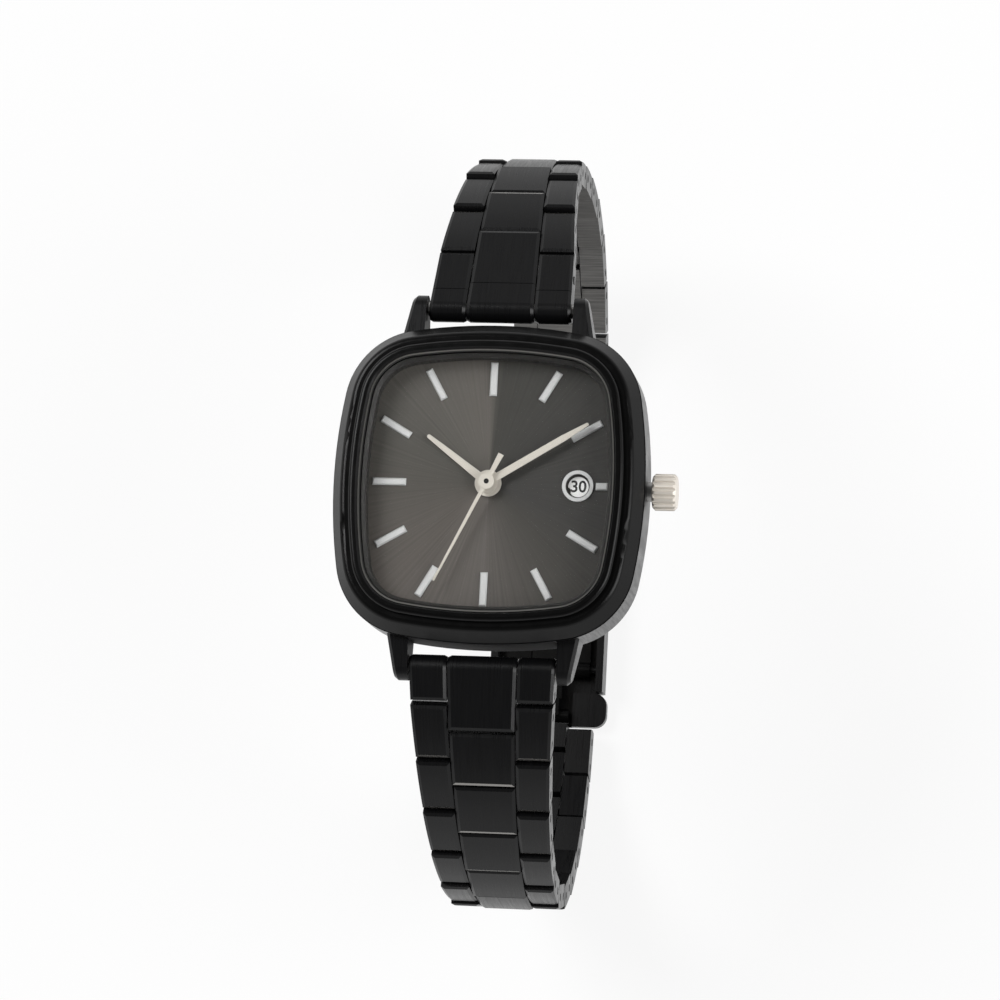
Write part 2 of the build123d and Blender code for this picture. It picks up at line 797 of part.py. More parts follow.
def hour_wheel():
    wheel = mesh_radii(motion_distance, hour_teeth, minute_pinion_teeth)[0]
    pinion = mesh_radii(date_wheel_distance, date_wheel_teeth, date_pinion_teeth)[1]
    top = hour_hand_low + hand_thick
    shape = disc(hour_pipe_radius, date_level, top)
    shape += gear(hour_teeth, wheel, hour_level, hour_level + wheel_thick, 0, 0, 0.5)
    shape += gear(date_pinion_teeth, pinion, date_level, hour_level)
    return shape - disc(hour_pipe_bore_radius, date_level, top)


def date_wheel():
    wheel = mesh_radii(date_wheel_distance, date_wheel_teeth, date_pinion_teeth)[0]
    x, y = polar(date_wheel_distance, date_wheel_angle)
    top = hour_level - pivot_gap / 2
    shape = gear(date_wheel_teeth, wheel, date_level, top, x, y, 0.5)
    finger = Pos(x, y, (date_level + top) / 2) * Rot(0, 0, date_wheel_angle + 90)
    finger *= Pos(date_finger_reach / 2, 0, 0) * Box(date_finger_reach, date_finger_wide, top - date_level)
    shape += finger
    return shape - disc(arbor_radius + wheel_bore_gap, date_level, top, x, y)


def date_disc():
    top = date_disc_low + date_disc_thick
    ring = disc(date_disc_outer, date_disc_low, top)
    points = []
    for count in range(date_disc_teeth):
        for place, share in enumerate(date_tooth_shares):
            radius = date_disc_inner + date_tooth_deep * (place > 1)
            points.append(polar(radius, (count + share) * 360 / date_disc_teeth))
    hole = extrude(make_face(Polyline(*points, close=True)), date_disc_thick)
    return ring - Pos(0, 0, date_disc_low) * hole


def sliding_pinion():
    end = pinion_start + pinion_length
    body = rod(pinion_radius, pinion_start, end, 0, -crown_drop)
    for count in range(pinion_flutes):
        across, up = polar(pinion_radius, count * 360 / pinion_flutes)
        body -= rod(pinion_flute_radius, pinion_start, end, across, up - crown_drop)
    return body - rod(stem_radius + running_gap, pinion_start, end, 0, -crown_drop)


def setting_lever():
    half_turn = degrees(asin(crown_travel / 2 / lever_arm))
    pivot_x = stem_groove_at + crown_travel / 2
    pivot_y = -lever_pin_side - lever_arm * cos(radians(half_turn))
    low = -crown_drop - stem_radius - lever_gap - lever_thick
    top = low + lever_thick
    half = lever_wide / 2
    arm = block(-half, half, 0, lever_arm, low, top)
    arm += disc(half, low, top) + disc(half, low, top, 0, lever_arm)
    arm += disc(lever_pin_radius, low, -crown_drop, 0, lever_arm)
    arm += disc(arbor_radius, low, plate_low)
    return Pos(pivot_x, pivot_y, 0) * Rot(0, 0, half_turn) * arm


# Bracelet

quarter = link_pitch / 4
relief = link_thick / 2 * tan(radians(max(bend_angles_12[1:] + bend_angles_6[1:]) / 2)) + seam_gap / 2


taper_12 = (taper_12_start, taper_12_end, taper_12_steady, taper_12_length, taper_12_curve_share)
taper_6 = (taper_6_start, taper_6_end, taper_6_steady, taper_6_length, taper_6_curve_share)


def wide_at(taper, distance):
    """A strand's width at a distance along it from the lug: steady, then a curve to its end."""
    start, end, steady, length, curve_share = taper
    left = min(max(1 - (distance - steady) / length, 0), 1)
    return end + (start - end) * left ** curve_share


def chain(sign, end_side, bends):
    """Hinge places and slopes down one strand, from the lug bar to the clasp."""
    y, z, slope = sign * lug_reach, -lug_drop, 0
    places = []
    distance = 0
    for count, bend in enumerate(bends):
        slope += bend
        places.append((y, z, slope, distance))
        step = end_side + quarter if count == 0 else link_pitch
        y += sign * step * cos(radians(slope))
        z -= step * sin(radians(slope))
        distance += step
    places.append((y, z, slope, distance))
    return places


def place_link(sign, place):
    """The frame of a link: along the strand, across it and out from the wrist."""
    y, z, slope, distance = place
    out = (0, sign * sin(radians(slope)), cos(radians(slope)))
    return Plane(origin=(0, y, z), x_dir=(sign, 0, 0), z_dir=out)


def section(start, end, round_start=False, round_end=False):
    """A link's side view: a crowned outer face, drawn in inside, or a round end on a bar."""
    half = link_thick / 2
    upper = [(start, half), (end, half), (end, 0)]
    lower = [(end - relief, -half), (start + relief, -half), (start, 0)]
    shape = prism(upper + lower, case_width)
    shape &= rod(link_crown_radius, -case_width, case_width, (start + end) / 2, half - link_crown_radius)
    if round_start:
        shape = prism([(0, half), (end, half), (end, 0), (end - relief, -half), (0, -half)], case_width)
        shape += rod(half, -case_width, case_width, 0, 0)
    if round_end:
        bar = end - half
        shape = prism([(start, half), (bar, half), (bar, -half), (start + relief, -half), (start, 0)],
                      case_width)
        shape += rod(half, -case_width, case_width, bar, 0)
    return shape


def row_piece(shape, corners, grooves=()):
    """Trim a side view to its row's plan, bevel its outer rim and score its grooves."""
    piece = shape & plan(corners, link_thick)
    face = piece.faces().sort_by(Axis.Z)[-1]
    piece = chamfer(face.edges(), link_bevel, link_bevel_deep, reference=face)
    for at in grooves:
        tip = link_thick / 2 - groove_deep
        piece -= prism([(at, tip), (at - groove_wide / 2, link_thick), (at + groove_wide / 2, link_thick)],
                       case_width)
    return piece


def link(taper, distance, side_from, side_to, centre_to, join_at, round_start=False, round_end=False,
         side_grooves=(), centre_grooves=()):
    """One rigid link: two side pieces, the centre piece ahead of them and two pins."""
    half_seam = seam_gap / 2
    centre_from = side_from if round_start else side_from + link_pitch / 2
    wide = lambda at: wide_at(taper, distance + at) / 2
    inner = lambda at: centre_row_share * wide(at)
    pieces = []
    start, end = side_from + half_seam * (not round_start), side_to - half_seam
    for sign in (1, -1):
        corners = [(sign * (inner(start) + row_gap), start), (sign * wide(start), start),
                   (sign * wide(end), end), (sign * (inner(end) + row_gap), end)]
        side = row_piece(section(start, end, round_start), corners, side_grooves)
        if not round_start:
            side -= rod(link_pin_radius, -case_width, case_width, 0, 0)
        else:
            side -= rod(spring_bar_radius + running_gap, -case_width, case_width, 0, 0)
        pieces.append(side - rod(link_pin_radius, -case_width, case_width, join_at, 0))
    start, end = centre_from + half_seam * (not round_start), centre_to - half_seam * (not round_end)
    corners = [(-inner(start), start), (inner(start), start), (inner(end), end), (-inner(end), end)]
    centre = row_piece(section(start, end, round_start, round_end), corners, centre_grooves)
    centre -= rod(link_pin_radius, -case_width, case_width, join_at, 0)
    if round_start:
        centre -= rod(spring_bar_radius + running_gap, -case_width, case_width, 0, 0)
    return pieces, centre, wide


def link_pin(wide, at):
    reach = wide(at) - link_pin_inset
    return rod(link_pin_radius, -reach, reach, at, 0)


def end_link(taper, side_to, join_at, side_grooves=(), centre_grooves=()):
    """The first link, with a round knuckle on the lug's spring bar."""
    start = -link_thick / 2
    sides, centre, wide = link(taper, 0, start, side_to, side_to + link_pitch / 2, join_at, True, False,
                               side_grooves, centre_grooves)
    centre -= rod(link_pin_radius + running_gap, -case_width, case_width, side_to + quarter, 0)
    return Compound(sides + [centre, link_pin(wide, join_at)])


def plain_link(taper, distance):
    sides, centre, wide = link(taper, distance, -quarter, 3 * quarter, 5 * quarter, 2 * quarter)
    centre -= rod(link_pin_radius + running_gap, -case_width, case_width, link_pitch, 0)
    return Compound(sides + [centre, link_pin(wide, 0), link_pin(wide, 2 * quarter)])


def last_link_12(taper, distance):
    """The link whose centre piece ends in a round knuckle on the clasp's spring bar."""
    sides, centre, wide = link(taper, distance, -quarter, 3 * quarter, link_pitch + link_thick / 2, 2 * quarter,
                               round_end=True)
    centre -= rod(spring_bar_radius + running_gap, -case_width, case_width, link_pitch, 0)
    return Compound(sides + [centre, link_pin(wide, 0), link_pin(wide, 2 * quarter)])


def last_link_6(taper, distance):
    """The link whose centre piece ends square behind the tube of the end blade."""
    end = link_pitch - blade_tube_radius - open_pivot_gap + seam_gap / 2
    sides, centre, wide = link(taper, distance, -quarter, 3 * quarter, end, 2 * quarter)
    return Compound(sides + [centre, link_pin(wide, 0), link_pin(wide, 2 * quarter)])


chain_12 = chain(1, end_12_side, bend_angles_12)
chain_6 = chain(-1, end_6_side, bend_angles_6)
dial_level = clasp_bar_high - chain_12[-1][1]


def strand(sign, name, taper, places, first, last):
    """All the links of one strand, each in its place."""
    nodes = {}
    for count, place in enumerate(places[:-1]):
        if count == 0:
            shape, node = first, f"end_link_{name}"
        else:
            node = f"link_{name}_{count}"
            shape = last(taper, place[3]) if count == len(places) - 2 else plain_link(taper, place[3])
        nodes[node] = place_link(sign, place).location * shape
    return nodes


# Clasp, drawn from the resting plane

bar_y = chain_12[-1][0]
open_pivot_y = chain_6[-1][0]
open_pivot_z = chain_6[-1][1] + dial_level
cover_12_end = bar_y + cover_12_reach
cover_6_end = open_pivot_y - quarter + cover_lip_gap
hinge_a_y = cover_6_end + blade_hinge_inset
hinge_b_y = bar_y - blade_12_distance


def clasp_cover():
    half = cover_wide / 2
    walls_from = cover_6_end + lip_length
    cover = block(-half, half, walls_from, cover_12_end, 0, cover_high)
    cover = chamfer(cover.edges().filter_by(Axis.Y).group_by(Axis.Z)[0], cover_edge_bevel)
    inner = half - cover_wall
    inside_from, inside_to = walls_from - lip_length, cover_12_end + lip_length
    cover -= block(-inner, inner, inside_from, inside_to, cover_thick, 2 * cover_high)
    lip_half = half + lip_extra_wide
    lip = block(-lip_half, lip_half, cover_6_end, walls_from, 0, lip_thick)
    lip = fillet(lip.edges().filter_by(Axis.Z), lip_corner_radius)
    cover += chamfer(lip.faces().sort_by(Axis.Z)[0].edges(), cover_edge_bevel)
    slot = centre_row_share * taper_6_end / 2 + lip_slot_gap
    cover -= block(-slot, slot, cover_6_end, walls_from, cover_thick, lip_thick)
    cover -= rod(spring_pin_radius + spring_pin_gap, -cover_wide, cover_wide, bar_y, clasp_bar_high)
    return cover - rod(blade_pin_radius, -cover_wide, cover_wide, hinge_a_y, blade_hinge_high)


def clasp_spring_bar():
    half = cover_wide / 2 - cover_wall - end_play
    return spring_bar(half, cover_wall, bar_y, clasp_bar_high)


def eye(x_start, x_end, y, z, radius):
    return rod(radius, x_start, x_end, y, z)


def clasp_middle_blade():
    low = blade_hinge_high - rail_thick / 2
    rails = []
    for sign in (1, -1):
        x_start, x_end = sorted((sign * rail_inner, sign * rail_outer))
        rail = block(x_start, x_end, hinge_a_y, hinge_b_y, low, low + rail_thick)
        rail += eye(x_start, x_end, hinge_a_y, blade_hinge_high, blade_eye_radius)
        rail += eye(x_start, x_end, hinge_b_y, blade_hinge_high, blade_eye_radius)
        for y, gap in ((hinge_a_y, running_gap), (hinge_b_y, 0)):
            rail -= rod(blade_pin_radius + gap, x_start, x_end, y, blade_hinge_high)
        rails.append(rail)
    pin = rod(blade_pin_radius, -rail_outer, rail_outer, hinge_b_y, blade_hinge_high)
    return Compound(rails + [pin])


def clasp_end_blade():
    half = tongue_half_wide
    end_half = tongue_end_half_wide
    rise = tongue_high + tongue_thick
    body = block(-half, half, hinge_a_y - tongue_wide_reach, hinge_b_y, tongue_high, rise)
    body += block(-end_half, end_half, open_pivot_y, hinge_a_y, tongue_high, rise)
    body += eye(-half, half, hinge_b_y, blade_hinge_high, blade_eye_radius)
    body -= rod(blade_pin_radius + running_gap, -half, half, hinge_b_y, blade_hinge_high)
    inner = centre_row_share * taper_6_end / 2
    tube = eye(-inner, inner, open_pivot_y, open_pivot_z, blade_tube_radius)
    return body + tube - rod(blade_pin_radius, -inner, inner, open_pivot_y, open_pivot_z)


def clasp_hinge_pin():
    half = cover_wide / 2
    return rod(blade_pin_radius, -half, half, hinge_a_y, blade_hinge_high)


os.makedirs("parts", exist_ok=True)

head = {
    "case_body": case_body(), "bezel": bezel(), "crystal": crystal(), "gaskets": gaskets(),
    "case_back": case_back(), "lug_spring_bars": lug_spring_bars(), "crown_tube": crown_tube(),
    "crown": crown(), "stem": stem(), "dial": dial(), "dial_appliques": dial_appliques(),
    "hour_hand": hour_hand(), "minute_hand": minute_hand(), "second_hand": second_hand(),
    "movement_holder": movement_holder(), "main_plate": main_plate(), "train_bridge": train_bridge(),
    "circuit_board": circuit_board(), "movement_screws": movement_screws(), "stator": stator(),
    "coil": coil(), "battery": battery(), "rotor": rotor(), "fifth_wheel": fifth_wheel(),
    "third_wheel": third_wheel(), "seconds_wheel": seconds_wheel(), "centre_wheel": centre_wheel(),
    "minute_wheel": minute_wheel(), "hour_wheel": hour_wheel(), "date_wheel": date_wheel(),
    "date_disc": date_disc(), "sliding_pinion": sliding_pinion(), "setting_lever": setting_lever(),
}
first_12 = end_link(taper_12, end_12_side, end_12_side / 2 + quarter / 2,
                    (end_12_groove_side,), (end_12_groove_centre,))
first_6 = end_link(taper_6, end_6_side, end_6_side - quarter / 2)
head.update(strand(1, "12", taper_12, chain_12, first_12, last_link_12))
head.update(strand(-1, "6", taper_6, chain_6, first_6, last_link_6))
clasp = {
    "clasp_cover": Compound([clasp_cover(), clasp_hinge_pin()]), "clasp_spring_bar": clasp_spring_bar(),
    "clasp_middle_blade": clasp_middle_blade(), "clasp_end_blade": clasp_end_blade(),
}
for node, shape in head.items():
    export_step(Pos(0, 0, dial_level) * shape, f"parts/{node}.step")
for node, shape in clasp.items():
    export_step(shape, f"parts/{node}.step")
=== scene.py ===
import json
import math

import bmesh
import bpy
from mathutils import Matrix, Vector


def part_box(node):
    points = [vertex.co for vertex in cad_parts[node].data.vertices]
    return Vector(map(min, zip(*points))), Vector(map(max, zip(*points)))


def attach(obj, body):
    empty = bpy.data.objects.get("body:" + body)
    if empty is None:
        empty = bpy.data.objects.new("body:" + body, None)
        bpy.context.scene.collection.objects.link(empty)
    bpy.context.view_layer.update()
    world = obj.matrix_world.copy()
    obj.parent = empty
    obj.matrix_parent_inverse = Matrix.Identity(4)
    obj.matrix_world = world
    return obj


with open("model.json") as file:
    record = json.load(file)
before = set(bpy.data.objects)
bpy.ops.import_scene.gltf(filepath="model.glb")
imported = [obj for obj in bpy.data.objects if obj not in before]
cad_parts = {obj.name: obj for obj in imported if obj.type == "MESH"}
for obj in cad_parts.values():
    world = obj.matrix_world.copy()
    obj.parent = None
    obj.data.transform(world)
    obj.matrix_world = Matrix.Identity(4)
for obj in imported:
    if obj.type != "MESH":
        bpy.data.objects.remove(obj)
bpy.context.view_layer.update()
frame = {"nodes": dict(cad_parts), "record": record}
nodes = frame["nodes"]
scene = bpy.context.scene

# Sizes in metres. Levels run from the dial's top face, which lies at dial_level.
mm = 0.001
dial_low, dial_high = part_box("dial")
dial_level = dial_high.z
case_width = 30.0 * mm
case_height = 30.8 * mm


# Colour and node helpers

def linear(colour):
    """The linear colour, with alpha, of an sRGB hex value."""
    parts = [int(colour[i:i + 2], 16) / 255 for i in (1, 3, 5)]
    return [p / 12.92 if p <= 0.04045 else ((p + 0.055) / 1.055) ** 2.4 for p in parts] + [1.0]


def add(tree, kind, links=(), **settings):
    """Add one node. Settings name its attributes or its inputs, and links join (output, input) pairs."""
    node = tree.nodes.new(kind)
    for name, value in settings.items():
        if hasattr(node, name):
            setattr(node, name, value)
        else:
            node.inputs[name.replace("_", " ")].default_value = value
    for output, name in links:
        tree.links.new(output, node.inputs[name])
    return node


def material(name, colour, **values):
    """A new material whose surface starts from one colour and constant shader values."""
    made = bpy.data.materials.new(name)
    made.use_nodes = True
    shader = made.node_tree.nodes["Principled BSDF"]
    shader.inputs["Base Color"].default_value = linear(colour)
    for key, value in values.items():
        shader.inputs[key.replace("_", " ")].default_value = value
    return made, made.node_tree, shader


def grain(tree, shader, spacing, stretch, depth, height):
    """Bump from noise whose cells are spacing wide, drawn out by stretch along X, Y and Z."""
    place = add(tree, "ShaderNodeTexCoord")
    size = add(tree, "ShaderNodeVectorMath", operation="MULTIPLY", links=[(place.outputs["Object"], 0)])
    size.inputs[1].default_value = [1 / (spacing * s) for s in stretch]
    noise = add(tree, "ShaderNodeTexNoise", Scale=1.0, Detail=3.0, links=[(size.outputs[0], "Vector")])
    bump = add(tree, "ShaderNodeBump", Strength=depth, Distance=height, links=[(noise.outputs[0], "Height")])
    tree.links.new(bump.outputs[0], shader.inputs["Normal"])
    return noise


def vary(tree, shader, noise, socket, low, high):
    """Let a noise move one shader value between two limits."""
    span = add(tree, "ShaderNodeMapRange", links=[(noise.outputs[0], "Value")])
    for key, value in (("From Min", 0.3), ("From Max", 0.7), ("To Min", low), ("To Max", high)):
        span.inputs[key].default_value = value
    tree.links.new(span.outputs[0], shader.inputs[socket])


def tint(tree, shader, noise, dark, light):
    """Let a noise mix a finish's darker and lighter tone."""
    ramp = add(tree, "ShaderNodeValToRGB", links=[(noise.outputs[0], "Fac")])
    ramp.color_ramp.elements[0].position, ramp.color_ramp.elements[1].position = 0.35, 0.65
    ramp.color_ramp.elements[0].color, ramp.color_ramp.elements[1].color = linear(dark), linear(light)
    tree.links.new(ramp.outputs[0], shader.inputs["Base Color"])


# Finishes

def make_satin_ion_plating():
    # Black ion-plated steel, brushed along the strand: nearly black face on, grey at a glance.
    # The brush lines are really about 0.05 mm apart. They are drawn at 0.12 mm so that they show.
    made, tree, shader = material("satin_ion_plated_steel", "#0b0b0c", Roughness=0.3, IOR=1.33)
    noise = grain(tree, shader, 0.12 * mm, (1, 30, 30), 0.12, 0.01 * mm)
    vary(tree, shader, noise, "Roughness", 0.25, 0.36)
    return made


def make_polished_ion_plating():
    # The same black plating on a polished ground: sharp reflections with faint hand-polishing waves.
    made, tree, shader = material("polished_ion_plated_steel", "#070707", Roughness=0.24, IOR=1.26)
    noise = grain(tree, shader, 0.9 * mm, (1, 1, 1), 0.05, 0.01 * mm)
    vary(tree, shader, noise, "Roughness", 0.21, 0.27)
    return made


def make_crown_steel():
    # Bare stainless steel, turned and polished: warm silver with fine turning lines round the axis.
    made, tree, shader = material("polished_stainless_steel", "#e2dbd1", Metallic=0.6, Roughness=0.4)
    noise = grain(tree, shader, 0.1 * mm, (1, 40, 40), 0.15, 0.01 * mm)
    vary(tree, shader, noise, "Roughness", 0.38, 0.5)
    return made


def make_hand_silver():
    # Satin silver-plated brass with a warm cast, finely grained along the blade.
    made, tree, shader = material("satin_silver_plate", "#cdc8bd", Metallic=0.1, Roughness=0.42)
    noise = grain(tree, shader, 0.12 * mm, (1, 1, 1), 0.08, 0.01 * mm)
    vary(tree, shader, noise, "Roughness", 0.36, 0.5)
    return made


def make_applied_silver():
    # Rhodium-plated applied markers: cool grey silver, matt on top with bright bevels.
    made, tree, shader = material("rhodium_plate", "#cecfce", Metallic=0.1, Roughness=0.4)
    noise = grain(tree, shader, 0.12 * mm, (1, 1, 1), 0.06, 0.01 * mm)
    vary(tree, shader, noise, "Roughness", 0.34, 0.46)
    return made


def make_sunray_dial():
    # Brass dial blank, brushed in rays from the centre and lacquered warm grey. Its light and dark sectors,
    # with the break at 12 and 6, are painted sheen: reflection painted into the colour. Rays are about 0.1 mm
    # apart halfway out.
    made, tree, shader = material("sunray_lacquered_brass", "#55524d", Roughness=0.42, IOR=1.3)
    place = add(tree, "ShaderNodeTexCoord")
    apart = add(tree, "ShaderNodeSeparateXYZ", links=[(place.outputs["Object"], 0)])
    angle = add(tree, "ShaderNodeMath", operation="ARCTAN2")
    tree.links.new(apart.outputs[0], angle.inputs[0])
    tree.links.new(apart.outputs[1], angle.inputs[1])
    turn = add(tree, "ShaderNodeMapRange", links=[(angle.outputs[0], "Value")])
    for key, value in (("From Min", -math.pi), ("From Max", math.pi), ("To Min", 0.0), ("To Max", 1.0)):
        turn.inputs[key].default_value = value
    # Painted sheen: lighter and darker sectors by share of a turn, from 6 o'clock round through 9, 12 and 3
    painted_sheen_sectors = add(tree, "ShaderNodeValToRGB", links=[(turn.outputs[0], "Fac")])
    sheen_tones = ((0.0, "#5f5b57"), (0.12, "#5c5752"), (0.25, "#504d48"), (0.33, "#504e49"), (0.42, "#5b5853"),
             (0.495, "#5e5a55"), (0.512, "#3c3b37"), (0.6, "#3b3a37"), (0.8, "#3a3937"), (0.88, "#42403c"),
             (0.94, "#4c4945"), (1.0, "#5a5652"))
    ramp = painted_sheen_sectors.color_ramp
    while len(ramp.elements) < len(sheen_tones):
        ramp.elements.new(1.0)
    for element, (share, tone) in zip(ramp.elements, sheen_tones):
        element.position, element.color = share, linear(tone)
    rays = add(tree, "ShaderNodeTexNoise", noise_dimensions="1D", Scale=240.0, Detail=2.0,
               links=[(turn.outputs[0], "W")])
    ray_tone = add(tree, "ShaderNodeMapRange", links=[(rays.outputs[0], "Value")])
    for key, value in (("From Min", 0.2), ("From Max", 0.8), ("To Min", 0.86), ("To Max", 1.12)):
        ray_tone.inputs[key].default_value = value
    toned = add(tree, "ShaderNodeVectorMath", operation="SCALE",
                links=[(painted_sheen_sectors.outputs[0], 0), (ray_tone.outputs[0], "Scale")])
    tree.links.new(toned.outputs[0], shader.inputs["Base Color"])
    bump = add(tree, "ShaderNodeBump", Strength=0.12, Distance=0.01 * mm, links=[(rays.outputs[0], "Height")])
    tree.links.new(bump.outputs[0], shader.inputs["Normal"])
    return made


def make_mineral_glass():
    # Flat mineral glass, ground and polished. Lamps and soft light pass to the dial below it,
    # and the eye gets a clear view with a faint sheen on top.
    made, tree, shader = material("mineral_glass", "#ffffff", Roughness=0.01, IOR=1.5)
    shader.inputs["Transmission Weight"].default_value = 1.0
    path = add(tree, "ShaderNodeLightPath")
    passing = add(tree, "ShaderNodeMath", operation="MAXIMUM")
    tree.links.new(path.outputs["Is Shadow Ray"], passing.inputs[0])
    tree.links.new(path.outputs["Is Diffuse Ray"], passing.inputs[1])
    clear = add(tree, "ShaderNodeBsdfTransparent", Color=linear("#ffffff"))
    mix = add(tree, "ShaderNodeMixShader",
              links=[(passing.outputs[0], 0), (shader.outputs[0], 1), (clear.outputs[0], 2)])
    tree.links.new(mix.outputs[0], tree.nodes["Material Output"].inputs["Surface"])
    return made


def make_blasted_plating():
    # The plated case wall behind each strand, bead blasted: matt black with no reflection.
    made, tree, shader = material("bead_blasted_steel", "#070707", Roughness=0.7, IOR=1.3)
    grain(tree, shader, 0.12 * mm, (1, 1, 1), 0.1, 0.01 * mm)
    return made


def make_flange_satin():
    # The flange between crystal and dial: plated and finely brushed, dark grey with soft light on it.
    made, tree, shader = material("satin_plated_flange", "#262523", Roughness=0.5, IOR=1.5)
    noise = grain(tree, shader, 0.12 * mm, (1, 1, 12), 0.2, 0.01 * mm)
    vary(tree, shader, noise, "Roughness", 0.42, 0.6)
    return made


def make_ground_edge():
    # The crystal's ground edge and bevel, left matt so that no light plays round its rim.
    made, tree, shader = material("ground_glass_edge", "#2b2b2a", Roughness=0.6, IOR=1.4)
    grain(tree, shader, 0.12 * mm, (1, 1, 1), 0.1, 0.01 * mm)
    return made


def make_inner_plating():
    # The strand's inner faces, linished along the strand and smoother than the outer ones. Their greyer
    # colour is painted sheen for the light they reflect.
    made, tree, shader = material("inner_plating_painted_sheen", "#575654", Roughness=0.4, IOR=1.5)
    noise = grain(tree, shader, 0.15 * mm, (30, 1, 1), 0.15, 0.01 * mm)
    tint(tree, shader, noise, "#4a4948", "#636260")
    return made


def make_bevel_plating():
    # Each link's lower edge, coloured as bright bare metal: a painted highlight, a thin light line at the
    # seams.
    made, tree, shader = material("edge_plating_painted_highlight", "#8c8a87", Metallic=1.0, Roughness=0.3)
    noise = grain(tree, shader, 0.12 * mm, (1, 1, 1), 0.1, 0.01 * mm)
    vary(tree, shader, noise, "Roughness", 0.26, 0.36)
    return made


def make_pit_shade():
    # The open pipe of the second hand: an unlit hole, coloured nearly black as painted shade.
    made, tree, shader = material("shaded_pipe", "#0b0a08", Roughness=0.6, IOR=1.4)
    grain(tree, shader, 0.12 * mm, (1, 1, 1), 0.1, 0.01 * mm)
    return made


def make_crystal_seal():
    # Moulded translucent nylon round the crystal: a thin pale line inside the lip.
    made, tree, shader = material("translucent_nylon", "#5f5e5b", Roughness=0.6, IOR=1.3)
    noise = grain(tree, shader, 0.2 * mm, (1, 1, 1), 0.1, 0.01 * mm)
    vary(tree, shader, noise, "Roughness", 0.55, 0.7)
    return made


def make_seal_rubber():
    # Moulded nitrile rubber, matt black.
    made, tree, shader = material("nitrile_rubber", "#111111", Roughness=0.65)
    noise = grain(tree, shader, 0.2 * mm, (1, 1, 1), 0.2, 0.02 * mm)
    vary(tree, shader, noise, "Roughness", 0.55, 0.75)
    return made


def make_back_steel():
    # Stainless steel case back, satin brushed in one direction.
    made, tree, shader = material("brushed_stainless_steel", "#bcbab6", Metallic=1.0, Roughness=0.32)
    noise = grain(tree, shader, 0.12 * mm, (40, 1, 1), 0.2, 0.01 * mm)
    vary(tree, shader, noise, "Roughness", 0.26, 0.42)
    return made


def make_pin_steel():
    # Turned steel pins and bars.
    made, tree, shader = material("turned_steel", "#a9a8a6", Metallic=1.0, Roughness=0.3)
    noise = grain(tree, shader, 0.1 * mm, (1, 40, 40), 0.15, 0.01 * mm)
    vary(tree, shader, noise, "Roughness", 0.25, 0.4)
    return made


def make_movement_brass():
    # Stamped brass movement plates and wheels, satin gilt.
    made, tree, shader = material("gilt_brass", "#c9a45c", Metallic=1.0, Roughness=0.33)
    noise = grain(tree, shader, 0.15 * mm, (1, 1, 1), 0.15, 0.01 * mm)
    vary(tree, shader, noise, "Roughness", 0.28, 0.42)
    return made


def make_moulded(name, colour, dark, roughness):
    # Injection-moulded plastic, fine spark texture.
    made, tree, shader = material(name, colour, Roughness=roughness, IOR=1.5)
    noise = grain(tree, shader, 0.15 * mm, (1, 1, 1), 0.15, 0.01 * mm)
    tint(tree, shader, noise, dark, colour)
    return made


def make_date_white():
    # Matt white print. A little emission stands for light that the deep window keeps from the disc.
    # It is an aid for the picture, not a property of the print.
    made, tree, shader = material("white_printed_disc", "#f2f2f0", Roughness=0.5, IOR=1.5)
    noise = grain(tree, shader, 0.15 * mm, (1, 1, 1), 0.1, 0.01 * mm)
    tint(tree, shader, noise, "#eeeeec", "#f5f5f3")
    shader.inputs["Emission Color"].default_value = linear("#ffffff")
    shader.inputs["Emission Strength"].default_value = 0.18
    return made


def make_worked(name, colour, roughness, stretch):
    # Worked metal with a grain drawn out along one direction.
    made, tree, shader = material(name, colour, Metallic=1.0, Roughness=roughness)
    noise = grain(tree, shader, 0.12 * mm, stretch, 0.15, 0.01 * mm)
    vary(tree, shader, noise, "Roughness", roughness - 0.06, roughness + 0.1)
    return made


finishes = {
    "case_black_steel": make_satin_ion_plating(),
    "bezel_black_steel": make_polished_ion_plating(),
    "mineral_glass": make_mineral_glass(),
    "seal_rubber": make_seal_rubber(),
    "back_steel": make_back_steel(),
    "pin_steel": make_pin_steel(),
    "crown_steel": make_crown_steel(),
    "dial_sunray": make_sunray_dial(),
    "applied_silver": make_applied_silver(),
    "hand_silver": make_hand_silver(),
    "movement_plastic": make_moulded("acetal", "#c8c7c0", "#bdbcb4", 0.5),
    "movement_brass": make_movement_brass(),
    "circuit_laminate": make_moulded("solder_masked_laminate", "#1d5a34", "#184c2c", 0.35),
    "stator_iron": make_worked("stamped_nickel_iron", "#a3a2a0", 0.4, (30, 1, 1)),
    "coil_copper": make_worked("enamelled_copper_wire", "#b5622f", 0.35, (1, 30, 30)),
    "battery_steel": make_worked("nickel_plated_steel", "#d0d0ce", 0.22, (1, 1, 1)),
    "rotor_magnet": make_worked("ground_cobalt_magnet", "#77767a", 0.4, (1, 1, 1)),
    "date_plastic": make_moulded("black_acetal", "#262626", "#1f1f1f", 0.45),
    "date_white": make_date_white(),
    "clasp_black_steel": make_satin_ion_plating(),
    "blade_black_steel": make_polished_ion_plating(),
}
finishes["band_black_steel"] = finishes["case_black_steel"]
slot_of = {part["node"]: part["material_slot"] for part in frame["record"]["subparts"]}
for name, node in nodes.items():
    node.data.materials.clear()
    node.data.materials.append(finishes[slot_of[name]])


def refinish(name, finish, chosen):
    """Give the faces of a node that a test on centre and normal picks a finish of their own."""
    mesh = nodes[name].data
    mesh.materials.append(finish)
    for face in mesh.polygons:
        if chosen(face.center, face.normal):
            face.material_index = len(mesh.materials) - 1


